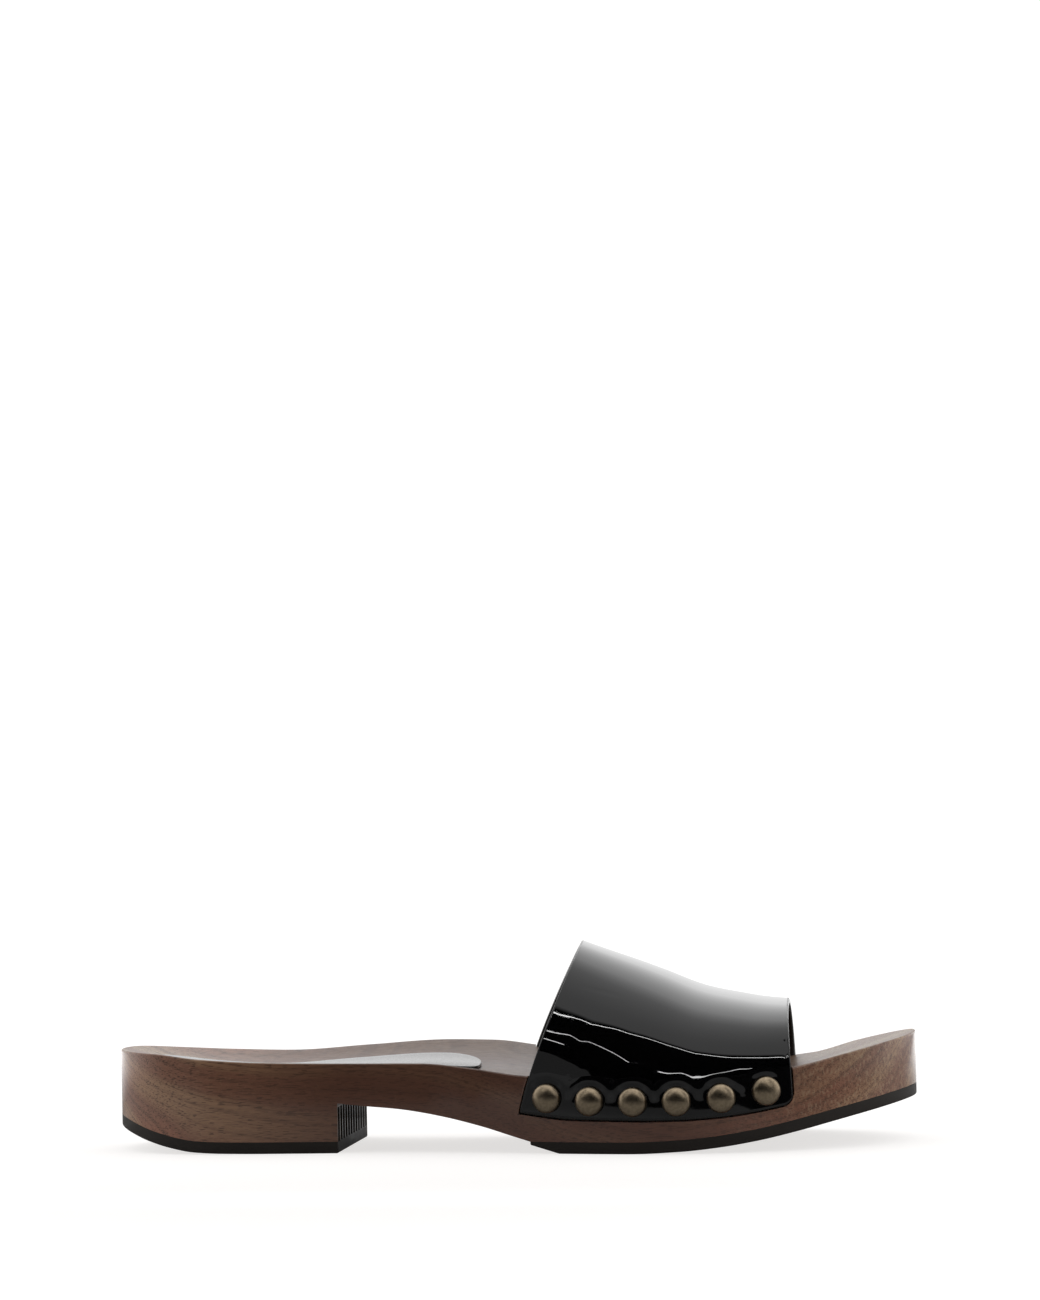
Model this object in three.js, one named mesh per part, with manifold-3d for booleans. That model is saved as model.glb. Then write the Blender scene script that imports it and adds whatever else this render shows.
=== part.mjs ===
// A right clog slide: a carved wooden sole with a dished footbed, rubber on heel and forefoot,
// and one broad leather strap nailed into rebates along both sides.
// Millimetres. The sole is drawn with x from heel to toe, y towards the inner (medial) side and z up
// from the floor, and the finished group is centred over its own footprint.
import * as THREE from 'three';
import { mergeVertices } from 'three/addons/utils/BufferGeometryUtils.js';
import Module from 'manifold-3d';

const wasm = await Module();
wasm.setup();

// Sole
const soleLength = 250;
const ballWidth = 85.6;
const heelSeatHeight = 28;
const heelLength = 73;
const heelRocker = 6.6;
const toeSpring = 13.9;
const archHeight = 15.4;
const treadLength = 116.3;
const skiveLength = 9;
const skiveStep = 0.7;
const rubberThickness = 3.6;
const heelCapLength = 36;
const heelRoundness = 2.3;
const toeCapLength = 70;
const toeRoundness = 2.08;
const fluteCount = 12;
const fluteDepth = 0.8;
const fluteRidge = 0.9;
const fluteLand = 1.2;

// Strap: its width along the outer hem, how far its edges lie further back on the inner side, and how far
// they lean forward between hem and crest
const leatherWall = 2.2;
const strapWidth = 84.3;
const strapSetBack = 35.4;
const rearSkew = 7.2;
const frontSkew = 4.3;
const rearLean = 19.7;
const frontLean = -1.6;
const leanCurve = 1.22;
const instepRise = 39.1;
const crestOffset = 4;
const hemMargin = 7;
const hemCornerRadius = 3;

// Nails
const studCount = 6;
const studHeadDiameter = 9;
const studHeadHeight = 3;
const studHeadRim = 0.4;
const studShankDiameter = 2;
const studShankLength = 9;
const studRearInset = 8.9;
const studFrontInset = 8.2;
const studRise = 5.9;

// Heel sock
const sockInset = 12;
const sockLength = 102.3;
const sockWidth = 29.6;
const sockHeelRound = 20;
const sockHeelRoundness = 2.2;
const sockTipRound = 14;
const sockTipRoundness = 2.6;
const sockThickness = 0.9;

// Clearance between pieces that touch, and how far cutting blocks reach past what they cut
const gap = 0.3;
const beyond = 10;

// How many facets the curved surfaces are divided into
const heelTurnSteps = 9;
const waistSteps = 18;
const toeTurnSteps = 12;
const footbedSteps = 54;
const dishSteps = 12;
const treadSteps = 30;
const archSteps = 16;
const fluteSides = 20;
const hemToRimSteps = 3;
const rimToCrestSteps = 19;
const strapWidthSteps = 14;
const holeSides = 12;
const studSides = 14;
const domeSteps = 5;
const sockSteps = 24;
const sockTurnSteps = 7;

// Plan of the sole: where the middle line lies and half the width, both as shares of the ball width
const planTable = [
  { along: 0.00, middle: 0.000, half: 0.345 },
  { along: 0.14, middle: -0.003, half: 0.348 },
  { along: 0.24, middle: -0.005, half: 0.344 },
  { along: 0.32, middle: -0.012, half: 0.334 },
  { along: 0.40, middle: -0.025, half: 0.331 },
  { along: 0.46, middle: -0.033, half: 0.344 },
  { along: 0.52, middle: -0.035, half: 0.374 },
  { along: 0.60, middle: -0.023, half: 0.435 },
  { along: 0.66, middle: -0.010, half: 0.475 },
  { along: 0.74, middle: 0.008, half: 0.500 },
  { along: 0.84, middle: 0.033, half: 0.500 },
  { along: 0.93, middle: 0.055, half: 0.500 },
  { along: 1.00, middle: 0.060, half: 0.500 },
];

// Footbed: the height of its outer and inner rims and how deep it is dished, as shares of the heel seat
const footbedTable = [
  { along: 0.00, lateral: 1.129, medial: 1.125, dish: 0.00 },
  { along: 0.06, lateral: 1.114, medial: 1.064, dish: 0.12 },
  { along: 0.12, lateral: 1.057, medial: 1.029, dish: 0.17 },
  { along: 0.20, lateral: 1.014, medial: 1.012, dish: 0.19 },
  { along: 0.30, lateral: 0.997, medial: 1.068, dish: 0.185 },
  { along: 0.40, lateral: 0.989, medial: 1.120, dish: 0.175 },
  { along: 0.46, lateral: 0.936, medial: 1.107, dish: 0.16 },
  { along: 0.52, lateral: 0.861, medial: 1.029, dish: 0.13 },
  { along: 0.60, lateral: 0.818, medial: 0.914, dish: 0.11 },
  { along: 0.70, lateral: 0.807, medial: 0.843, dish: 0.09 },
  { along: 0.80, lateral: 0.850, medial: 0.829, dish: 0.07 },
  { along: 0.86, lateral: 0.918, medial: 0.880, dish: 0.06 },
  { along: 0.92, lateral: 1.036, medial: 1.032, dish: 0.05 },
  { along: 1.00, lateral: 1.200, medial: 1.218, dish: 0.00 },
];

// Tread under the heel, as shares of the rocker, and under the forefoot, as shares of the toe spring
const heelTreadTable = [
  { along: 0.000, lift: 1.20 },
  { along: 0.020, lift: 0.95 },
  { along: 0.050, lift: 0.57 },
  { along: 0.080, lift: 0.28 },
  { along: 0.110, lift: 0.09 },
  { along: 0.150, lift: 0.02 },
  { along: 0.200, lift: 0.00 },
  { along: 1.000, lift: 0.00 },
];
const toeTreadTable = [
  { along: 0.000, lift: 0.000 },
  { along: 0.660, lift: 0.000 },
  { along: 0.720, lift: 0.045 },
  { along: 0.768, lift: 0.125 },
  { along: 0.816, lift: 0.255 },
  { along: 0.864, lift: 0.435 },
  { along: 0.912, lift: 0.638 },
  { along: 0.960, lift: 0.835 },
  { along: 1.000, lift: 1.000 },
];

// Arch from the heel breast to the tread, where 0 is the wood over the tread and 1 the full arch height
const archTable = [
  { along: 0.00, height: 1.000 },
  { along: 0.14, height: 0.924 },
  { along: 0.32, height: 0.839 },
  { along: 0.53, height: 0.657 },
  { along: 0.74, height: 0.398 },
  { along: 0.91, height: 0.136 },
  { along: 1.00, height: 0.000 },
];

// Strap from its rear to its front edge: the crest over the outer rim as a share of the instep rise, the
// hem over the tread as a share of its margin, and how full each section is, where 2 is an ellipse
const strapTable = [
  { along: 0.0, crest: 1.000, hem: 1.23, fullness: 2.3 },
  { along: 0.2, crest: 0.908, hem: 0.96, fullness: 2.3 },
  { along: 0.4, crest: 0.793, hem: 0.92, fullness: 2.3 },
  { along: 0.6, crest: 0.662, hem: 0.84, fullness: 2.3 },
  { along: 0.8, crest: 0.566, hem: 0.75, fullness: 2.3 },
  { along: 1.0, crest: 0.472, hem: 0.70, fullness: 2.3 },
];

// Half the width of the heel sock from back to tip, as a share of its full half
const sockTable = [
  { along: 0.00, half: 0.76 },
  { along: 0.30, half: 0.80 },
  { along: 0.55, half: 0.95 },
  { along: 0.75, half: 0.98 },
  { along: 1.00, half: 0.88 },
];

// Slope of a table's column at one row, flat where the column turns
function slopeAt(rows, column, i) {
  const rise = (a, b) => (rows[b][column] - rows[a][column]) / (rows[b].along - rows[a].along);
  if (i === 0) return rise(0, 1);
  if (i === rows.length - 1) return rise(i - 1, i);
  const before = rise(i - 1, i);
  const after = rise(i, i + 1);
  return before * after <= 0 ? 0 : 2 * before * after / (before + after);
}

// A table's column at any place, as one smooth curve through its rows
function valueAt(rows, column, along) {
  const next = Math.min(Math.max(rows.findIndex(row => row.along > along), 1), rows.length - 1);
  const i = along >= rows[rows.length - 1].along ? rows.length - 2 : next - 1;
  const span = rows[i + 1].along - rows[i].along;
  const t = THREE.MathUtils.clamp((along - rows[i].along) / span, 0, 1);
  const a = rows[i][column];
  const b = rows[i + 1][column];
  const slopeA = slopeAt(rows, column, i) * span;
  const slopeB = slopeAt(rows, column, i + 1) * span;
  return a * (1 + 2 * t) * (1 - t) ** 2 + b * t * t * (3 - 2 * t)
    + slopeA * t * (1 - t) ** 2 - slopeB * t * t * (1 - t);
}

// How far a rounded end has opened at a depth from its tip, from 0 to 1
function roundEnd(depth, length, fullness) {
  const t = THREE.MathUtils.clamp(1 - depth / length, 0, 1);
  return (1 - t ** fullness) ** (1 / fullness);
}

// The sole's outer and inner edge at a place along it
function soleEdges(x) {
  const along = x / soleLength;
  const opened = roundEnd(x, heelCapLength, heelRoundness)
    * roundEnd(soleLength - x, toeCapLength, toeRoundness);
  const middle = valueAt(planTable, 'middle', along) * ballWidth;
  const half = valueAt(planTable, 'half', along) * ballWidth * opened;
  return { lateral: middle - half, medial: middle + half };
}

// Height of the footbed at a point of the plan
function footbedHeight(x, y) {
  const along = x / soleLength;
  const edges = soleEdges(THREE.MathUtils.clamp(x, 1, soleLength - 1));
  const across = THREE.MathUtils.clamp((y - edges.lateral) / (edges.medial - edges.lateral), 0, 1);
  const lateral = valueAt(footbedTable, 'lateral', along);
  const medial = valueAt(footbedTable, 'medial', along);
  const hollow = valueAt(footbedTable, 'dish', along) * (1 - (2 * across - 1) ** 2);
  return heelSeatHeight * (lateral + (medial - lateral) * across - hollow);
}

// Height of the rubber's underside under the heel and under the forefoot
function heelTread(x) {
  return heelRocker * valueAt(heelTreadTable, 'lift', x / soleLength);
}
function toeTread(x) {
  return toeSpring * valueAt(toeTreadTable, 'lift', x / soleLength);
}

// Height of the wood's underside over the rubber, measured square to the tread
function overRubber(tread, x) {
  const step = 1;
  const slope = (tread(x + step) - tread(x - step)) / (2 * step);
  return tread(x) + rubberThickness * Math.hypot(1, slope);
}

// Where the forefoot's tread starts, and the height of the arch between it and the heel breast
const treadStart = soleLength - treadLength;
function archUnderside(x) {
  const share = valueAt(archTable, 'height', (x - heelLength) / (treadStart - heelLength));
  return THREE.MathUtils.lerp(overRubber(toeTread, treadStart), archHeight, share);
}

// A list of evenly spread numbers
function spread(from, to, count) {
  return Array.from({ length: count + 1 }, (_, i) => from + (to - from) * i / count);
}

// Places along the sole, close together where the heel and the toe turn
function soleStations() {
  const quarter = Math.PI / 2;
  const heel = spread(0, quarter, heelTurnSteps).map(turn => heelCapLength * (1 - Math.cos(turn)));
  const waist = spread(heelCapLength, soleLength - toeCapLength, waistSteps).slice(1, -1);
  const toe = spread(quarter, 0, toeTurnSteps).map(turn => soleLength - toeCapLength * (1 - Math.cos(turn)));
  return [...heel, ...waist, ...toe];
}

// From a closed geometry to a solid that can be cut and joined, and back
function toSolid(geometry) {
  const bare = geometry.clone();
  bare.deleteAttribute('normal');
  bare.deleteAttribute('uv');
  const merged = mergeVertices(bare, 1e-4);
  const mesh = new wasm.Mesh({
    numProp: 3,
    vertProperties: new Float32Array(merged.attributes.position.array),
    triVerts: new Uint32Array(merged.index.array),
  });
  return new wasm.Manifold(mesh);
}
function toGeometry(solid) {
  const mesh = solid.getMesh();
  const geometry = new THREE.BufferGeometry();
  geometry.setAttribute('position', new THREE.BufferAttribute(mesh.vertProperties, 3));
  geometry.setIndex(new THREE.BufferAttribute(mesh.triVerts, 1));
  geometry.computeVertexNormals();
  return geometry;
}

// A block with each corner moved by a function of its place, from 0 to 1 along, across and up
function bentBlock(alongSteps, acrossSteps, place) {
  const geometry = new THREE.BoxGeometry(1, 1, 1, alongSteps, acrossSteps, 1);
  const position = geometry.attributes.position;
  for (let i = 0; i < position.count; i += 1) {
    const p = place(position.getX(i) + 0.5, position.getY(i) + 0.5, position.getZ(i) + 0.5);
    position.setXYZ(i, p.x, p.y, p.z);
  }
  return toSolid(geometry);
}

// An outline in the plan, raised between two heights
function raised(points, low, high) {
  const shape = new THREE.Shape(points.map(p => new THREE.Vector2(p.x, p.y)));
  const geometry = new THREE.ExtrudeGeometry(shape, { depth: high - low, bevelEnabled: false });
  geometry.translate(0, 0, low);
  return toSolid(geometry);
}

// A side profile of points x and z, carried right across the sole
function carriedAcross(points) {
  const shape = new THREE.Shape(points.map(p => new THREE.Vector2(p.x, p.z)));
  const width = 2 * ballWidth;
  const geometry = new THREE.ExtrudeGeometry(shape, { depth: width, bevelEnabled: false });
  geometry.rotateX(Math.PI / 2);
  geometry.translate(0, width / 2, 0);
  return toSolid(geometry);
}

// An outline given by its two edges at each station, from one end to the other
function outline(stations, edgesAt) {
  const outer = stations.map(x => ({ x, y: edgesAt(x).lateral }));
  const inner = stations.slice(1, -1).map(x => ({ x, y: edgesAt(x).medial }));
  return [...outer, ...inner.reverse()];
}

// The sole's outline as a block, from below the floor to above its rims
function soleBlock() {
  return raised(outline(soleStations(), soleEdges), -beyond, 2 * heelSeatHeight);
}

// Everything above the footbed
function aboveFootbed() {
  return bentBlock(footbedSteps, dishSteps, (along, across, up) => {
    const x = THREE.MathUtils.lerp(-beyond, soleLength + beyond, along);
    const y = (2 * across - 1) * (ballWidth / 2 + beyond);
    return { x, y, z: up < 0.5 ? footbedHeight(x, y) : 3 * heelSeatHeight };
  });
}

// Everything below the wood: the room for the rubber and the arch
function belowWood() {
  const heel = spread(-beyond, heelLength, treadSteps).map(x => ({ x, z: overRubber(heelTread, x) }));
  const arch = spread(heelLength, treadStart, archSteps).map(x => ({ x, z: archUnderside(x) }));
  const toe = spread(treadStart, soleLength + beyond, treadSteps)
    .map(x => ({ x, z: overRubber(toeTread, x) }));
  const floor = [{ x: soleLength + beyond, z: -2 * beyond }, { x: -beyond, z: -2 * beyond }];
  return carriedAcross([...heel, ...arch, ...toe.slice(1), ...floor]);
}

// Upright grooves side by side down the heel breast, with narrow ridges between them
function breastFlutes() {
  const edges = soleEdges(heelLength);
  const pitch = (edges.medial - edges.lateral) / fluteCount;
  const halfGroove = (pitch - fluteRidge) / 2;
  const radius = (halfGroove ** 2 + fluteDepth ** 2) / (2 * fluteDepth);
  return Array.from({ length: fluteCount }, (_, i) => {
    const top = archHeight - fluteLand;
    const geometry = new THREE.CylinderGeometry(radius, radius, top + beyond, fluteSides);
    geometry.rotateX(Math.PI / 2);
    const x = heelLength + radius - fluteDepth;
    geometry.translate(x, edges.lateral + pitch * (i + 0.5), (top - beyond) / 2);
    return toSolid(geometry);
  });
}

// How far back the strap's inner side lies behind its outer side
function skewAt(across) {
  return THREE.MathUtils.lerp(rearSkew, frontSkew, across);
}

// Where the strap's hem lies along the sole, from its rear edge (0) to its front edge (1)
function hemAlong(across, side) {
  const outer = soleLength - strapSetBack - strapWidth * (1 - across);
  return side === 'medial' ? outer - skewAt(across) : outer;
}

// Height of the hem, which rounds up at its front corner
function hemHeight(across, side) {
  const fromFront = THREE.MathUtils.clamp(strapWidth * (1 - across), 0, hemCornerRadius);
  const corner = hemCornerRadius - Math.sqrt(hemCornerRadius ** 2 - (hemCornerRadius - fromFront) ** 2);
  const margin = hemMargin * valueAt(strapTable, 'hem', across);
  return overRubber(toeTread, hemAlong(across, side)) + margin + corner;
}

// Height of the strap's crest over the floor
function crestHeight(across) {
  const rim = heelSeatHeight * valueAt(footbedTable, 'lateral', hemAlong(across, 'lateral') / soleLength);
  return rim + instepRise * valueAt(strapTable, 'crest', across);
}

// How far a point of the strap at some height lies ahead of its hem
function leanAt(across, height, hem) {
  const lean = THREE.MathUtils.lerp(rearLean, frontLean, across);
  const climbed = Math.max(height - hem, 0) / (crestHeight(across) - hem);
  return lean * climbed ** leanCurve;
}

// A point of the strap's outer face, from the outer hem (0) over the crest to the inner hem (1)
function strapPoint(around, across, lowered) {
  const side = around < 0.5 ? 'lateral' : 'medial';
  const upward = (1 - Math.abs(2 * around - 1)) * (hemToRimSteps + rimToCrestSteps);
  const hem = hemHeight(across, side) - lowered;
  const nearRim = hemAlong(across, side) + leanAt(across, heelSeatHeight, hem);
  const rim = heelSeatHeight * valueAt(footbedTable, side, nearRim / soleLength);
  const turn = Math.PI / 2 * Math.max(upward - hemToRimSteps, 0) / rimToCrestSteps;
  const power = 2 / valueAt(strapTable, 'fullness', across);
  const climb = Math.sin(turn) ** power;
  const reach = Math.max(Math.cos(turn), 0) ** power;
  const z = upward < hemToRimSteps
    ? THREE.MathUtils.lerp(hem, rim, upward / hemToRimSteps)
    : THREE.MathUtils.lerp(rim, crestHeight(across), climb);
  const skewShare = side === 'lateral' ? (1 - reach) / 2 : (1 + reach) / 2;
  const x = hemAlong(across, 'lateral') - skewAt(across) * skewShare + leanAt(across, z, hem);
  const y = THREE.MathUtils.lerp(crestOffset, soleEdges(x)[side], reach);
  return new THREE.Vector3(x, y, z);
}

// A sheet that follows the strap between two depths under its outer face, with a margin around its edges
function strapSheet(innerDepth, outerDepth, margin) {
  const nudge = 1e-4;
  return bentBlock(strapWidthSteps, 2 * (hemToRimSteps + rimToCrestSteps), (t, around, up) => {
    const eased = (1 - Math.cos(Math.PI * t)) / 2;
    const across = THREE.MathUtils.lerp(-margin / strapWidth, 1 + margin / strapWidth, eased);
    const point = strapPoint(around, across, margin);
    const ahead = strapPoint(around, across + nudge, margin);
    const behind = strapPoint(around, across - nudge, margin);
    const onward = strapPoint(Math.min(around + nudge, 1), across, margin);
    const back = strapPoint(Math.max(around - nudge, 0), across, margin);
    const outward = ahead.sub(behind).cross(onward.sub(back)).normalize();
    return point.addScaledVector(outward, -THREE.MathUtils.lerp(innerDepth, outerDepth, up));
  });
}

// The seat of each nail on the strap's outer face, and the direction it points out
function studSeats(side) {
  const pitch = (strapWidth - studRearInset - studFrontInset) / (studCount - 1);
  return Array.from({ length: studCount }, (_, i) => {
    const across = (studRearInset + pitch * i) / strapWidth;
    const x = hemAlong(across, side);
    const y = soleEdges(x)[side];
    const z = hemHeight(across, side) + studRise;
    const step = 0.5;
    const slope = (soleEdges(x + step)[side] - soleEdges(x - step)[side]) / (2 * step);
    const outward = new THREE.Vector3(-slope, 1, 0).normalize().multiplyScalar(side === 'medial' ? 1 : -1);
    return { position: new THREE.Vector3(x, y, z), outward };
  });
}

// Turns a shape made upright so that its top points out of a nail's seat
function outOf(seat) {
  const turn = new THREE.Quaternion().setFromUnitVectors(new THREE.Vector3(0, 1, 0), seat.outward);
  return new THREE.Matrix4().compose(seat.position, turn, new THREE.Vector3(1, 1, 1));
}

// A nail hole through the strap into the wood
function studHole(seat) {
  const radius = studShankDiameter / 2 + gap;
  const depth = studShankLength + gap;
  const geometry = new THREE.CylinderGeometry(radius, radius, depth + beyond / 2, holeSides);
  geometry.translate(0, (beyond / 2 - depth) / 2, 0);
  return toSolid(geometry.applyMatrix4(outOf(seat)));
}

// A domed nail: its shank, its head's flat underside a gap over the strap, a thin rim and the dome
function studGeometry(seat) {
  const headRadius = studHeadDiameter / 2;
  const shankRadius = studShankDiameter / 2;
  const domeHeight = studHeadHeight - studHeadRim;
  const dome = spread(0, Math.PI / 2, domeSteps).map(turn => new THREE.Vector2(
    headRadius * Math.cos(turn),
    gap + studHeadRim + domeHeight * Math.sin(turn),
  ));
  dome[dome.length - 1].x = 0;
  const profile = [
    new THREE.Vector2(0, -studShankLength),
    new THREE.Vector2(shankRadius, shankRadius - studShankLength),
    new THREE.Vector2(shankRadius, gap),
    new THREE.Vector2(headRadius, gap),
    ...dome,
  ];
  const solid = toSolid(new THREE.LatheGeometry(profile, studSides));
  return toGeometry(solid).applyMatrix4(outOf(seat));
}

// The carved sole, cut out for the strap, its nails and the flutes of the heel breast
function woodenSole(seats) {
  const strapRoom = strapSheet(leatherWall + gap, -beyond / 2, gap);
  const cuts = [aboveFootbed(), belowWood(), strapRoom, ...breastFlutes(), ...seats.map(studHole)];
  return cuts.reduce((wood, cut) => wood.subtract(cut), soleBlock());
}

// The strap, with its nail holes
function upperStrap(seats) {
  return seats.map(studHole).reduce((strap, hole) => strap.subtract(hole), strapSheet(leatherWall, 0, 0));
}

// The rubber under the heel
function heelTopPiece() {
  const stations = spread(-beyond, heelLength, treadSteps);
  const under = stations.map(x => ({ x, z: heelTread(x) }));
  const over = stations.map(x => ({ x, z: overRubber(heelTread, x) - gap }));
  return carriedAcross([...under, ...over.reverse()]).intersect(soleBlock());
}

// The rubber under the forefoot, skived down to the floor at its rear edge
function forefootOutsole() {
  const skiveEnd = treadStart + skiveLength;
  const under = spread(skiveEnd, soleLength + beyond, treadSteps).map(x => ({ x, z: toeTread(x) }));
  const over = spread(treadStart, soleLength + beyond, treadSteps)
    .map(x => ({ x, z: overRubber(toeTread, x) - gap }));
  const skive = { x: treadStart, z: rubberThickness - gap - skiveStep };
  return carriedAcross([skive, ...under, ...over.reverse()]).intersect(soleBlock());
}

// The heel sock, a tongue that lies on the footbed along the sole's middle line
function heelSock() {
  const sockEnd = sockInset + sockLength;
  const edgesAt = x => {
    const opened = roundEnd(x - sockInset, sockHeelRound, sockHeelRoundness)
      * roundEnd(sockEnd - x, sockTipRound, sockTipRoundness);
    const half = sockWidth / 2 * valueAt(sockTable, 'half', (x - sockInset) / sockLength) * opened;
    const middle = valueAt(planTable, 'middle', x / soleLength) * ballWidth;
    return { lateral: middle - half, medial: middle + half };
  };
  const quarter = Math.PI / 2;
  const back = spread(0, quarter, sockTurnSteps).map(turn => sockInset + sockHeelRound * (1 - Math.cos(turn)));
  const middle = spread(sockInset + sockHeelRound, sockEnd - sockTipRound, sockTurnSteps).slice(1, -1);
  const tip = spread(quarter, 0, sockTurnSteps).map(turn => sockEnd - sockTipRound * (1 - Math.cos(turn)));
  const plan = raised(outline([...back, ...middle, ...tip], edgesAt), 0, 2 * heelSeatHeight);
  const slab = bentBlock(sockSteps, dishSteps / 2, (along, across, up) => {
    const x = THREE.MathUtils.lerp(sockInset - beyond / 2, sockEnd + beyond / 2, along);
    const y = THREE.MathUtils.lerp(-sockWidth, sockWidth, across);
    return { x, y, z: footbedHeight(x, y) + gap + sockThickness * up };
  });
  return plan.intersect(slab);
}

// Materials
const materials = {
  wood: { color: 0x4a2f27, roughness: 0.42, metalness: 0 },
  rubber: { color: 0x161616, roughness: 0.6, metalness: 0 },
  patent: { color: 0x060607, roughness: 0.06, metalness: 0 },
  sock: { color: 0x2a2725, roughness: 0.22, metalness: 0 },
  brass: { color: 0x6a6252, roughness: 0.35, metalness: 0.9 },
};
function piece(name, geometry, material) {
  const mesh = new THREE.Mesh(geometry, new THREE.MeshStandardMaterial(materials[material]));
  mesh.name = name;
  return mesh;
}

// The clog
const seats = { lateral: studSeats('lateral'), medial: studSeats('medial') };
const allSeats = [...seats.lateral, ...seats.medial];
const clog = new THREE.Group();
clog.add(piece('wooden_sole', toGeometry(woodenSole(allSeats)), 'wood'));
clog.add(piece('heel_top_piece', toGeometry(heelTopPiece()), 'rubber'));
clog.add(piece('forefoot_outsole', toGeometry(forefootOutsole()), 'rubber'));
clog.add(piece('upper_strap', toGeometry(upperStrap(allSeats)), 'patent'));
clog.add(piece('heel_sock', toGeometry(heelSock()), 'sock'));
for (const side of ['lateral', 'medial']) {
  seats[side].forEach((seat, i) => {
    clog.add(piece(`stud_${side}_${i + 1}`, studGeometry(seat), 'brass'));
  });
}

// Centred over its footprint, standing on the floor
const bounds = new THREE.Box3().setFromObject(clog);
const middle = bounds.getCenter(new THREE.Vector3());
clog.position.set(-middle.x, -middle.y, -bounds.min.z);

export default clog;
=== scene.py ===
"""A wooden clog slide: stained wood, rubber treads, a patent leather strap, a heel sock and domed nails.

Forms are worked out in millimetres in the sole's own frame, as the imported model's are: x from heel to
toe, y towards the inner side, z up from the floor. to_mesh() turns them into metres in the row frame.
"""
import math

import bmesh
import bpy
import numpy as np
from mathutils import Matrix, Vector


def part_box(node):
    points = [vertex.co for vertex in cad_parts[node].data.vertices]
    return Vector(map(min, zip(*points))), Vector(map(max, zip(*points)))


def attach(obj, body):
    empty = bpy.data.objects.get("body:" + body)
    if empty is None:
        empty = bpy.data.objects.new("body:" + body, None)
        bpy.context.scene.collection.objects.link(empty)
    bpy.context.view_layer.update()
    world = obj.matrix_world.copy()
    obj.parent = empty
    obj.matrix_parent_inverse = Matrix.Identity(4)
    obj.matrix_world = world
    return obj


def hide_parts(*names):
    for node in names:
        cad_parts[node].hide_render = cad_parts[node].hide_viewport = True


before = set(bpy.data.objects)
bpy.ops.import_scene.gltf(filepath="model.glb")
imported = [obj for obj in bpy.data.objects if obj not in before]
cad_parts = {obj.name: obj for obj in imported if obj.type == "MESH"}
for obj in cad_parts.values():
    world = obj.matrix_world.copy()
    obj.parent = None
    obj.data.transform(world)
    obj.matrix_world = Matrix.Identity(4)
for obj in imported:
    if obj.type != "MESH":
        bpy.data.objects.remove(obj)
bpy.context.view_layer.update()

MM = 0.001

# Sole
SOLE_LENGTH = 250.0
BALL_WIDTH = 85.6
HEEL_SEAT_HEIGHT = 28.0
HEEL_LENGTH = 73.0
HEEL_ROCKER = 6.6
TOE_SPRING = 13.9
ARCH_HEIGHT = 15.4
TREAD_LENGTH = 116.3
TREAD_START = SOLE_LENGTH - TREAD_LENGTH
SKIVE_LENGTH = 9.0
SKIVE_STEP = 0.7
RUBBER_THICKNESS = 3.6
HEEL_CAP_LENGTH = 36.0
HEEL_ROUNDNESS = 2.3
TOE_CAP_LENGTH = 70.0
TOE_ROUNDNESS = 2.08
FLUTE_COUNT = 12
FLUTE_DEPTH = 0.8
FLUTE_RIDGE = 0.9
FLUTE_LAND = 1.2
FLUTE_CLEARANCE = 0.02
FLUTE_OVERRUN = 1.0
RIM_RADIUS = 0.8
RUBBER_EDGE = 0.45
RUBBER_UPPER_EDGE = 0.1

# Strap: its side runs up the wood for SIDE_SHARE of the way to the crest, and its edges are rounded,
# pressed along the front, drawn in over the nails and creased on the outer side. What is along it is a
# share of its width, and what is around it a share of its way from hem to hem.
LEATHER_WALL = 2.2
STRAP_WIDTH = 84.3
STRAP_SET_BACK = 35.4
REAR_SKEW = 7.2
FRONT_SKEW = 4.3
REAR_LEAN = 19.7
FRONT_LEAN = -1.6
LEAN_CURVE = 1.22
INSTEP_RISE = 39.1
CREST_OFFSET = 4.0
HEM_MARGIN = 7.0
HEM_CORNER_RADIUS = 3.0
SIDE_SHARE = 3 / 22
SIDE_LENGTH = 10.5
STRAP_EDGE = 0.55
EDGE_PAINT_REACH = STRAP_EDGE + 0.01
ROWS_NEAR_EDGE = (0, 0.06, 0.16, 0.32, 0.55, 0.8, 1.05, 1.3, 1.55, 1.8, 2.2, 2.8)
ROWS_NEAR_HEM = (0, 0.06, 0.16, 0.32, 0.55, 0.9)
FOLD_INSET = 1.3
FOLD_DEPTH = 0.02
FOLD_WIDTH = 0.4
DIMPLE_DEPTH = 0.16
DIMPLE_RADIUS = 5.2
DIMPLE_SOFTNESS = 2.2
SWELL_SHARE = 0.5
SWELL_DISTANCE = 1.6
CREASE_START = 0.045
CREASE_END = 0.285
CREASE_AROUND = 0.276
CREASE_DEPTH = 0.06
CREASE_WIDTH = 0.0035

# Nails
STUD_COUNT = 6
STUD_HEAD_DIAMETER = 9.0
STUD_HEAD_HEIGHT = 3.0
STUD_HEAD_RIM = 0.4
STUD_SHANK_DIAMETER = 2.0
STUD_SHANK_LENGTH = 9.0
STUD_REAR_INSET = 8.9
STUD_FRONT_INSET = 8.2
STUD_RISE = 5.9
STUD_SEGMENTS = 56
STUD_DOME_STEPS = 22

# Heel sock
SOCK_INSET = 12.0
SOCK_LENGTH = 102.3
SOCK_WIDTH = 29.6
SOCK_HEEL_ROUND = 20.0
SOCK_HEEL_ROUNDNESS = 2.2
SOCK_TIP_ROUND = 14.0
SOCK_TIP_ROUNDNESS = 2.6
SOCK_THICKNESS = 0.9
SOCK_EDGE = 0.4
SOCK_UNDER_EDGE = 0.1

# Clearance between pieces, what is left of it over the glued rubbers, and how far cutters reach past
GAP = 0.3
GLUE_LINE = 0.05
BEYOND = 10.0

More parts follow.
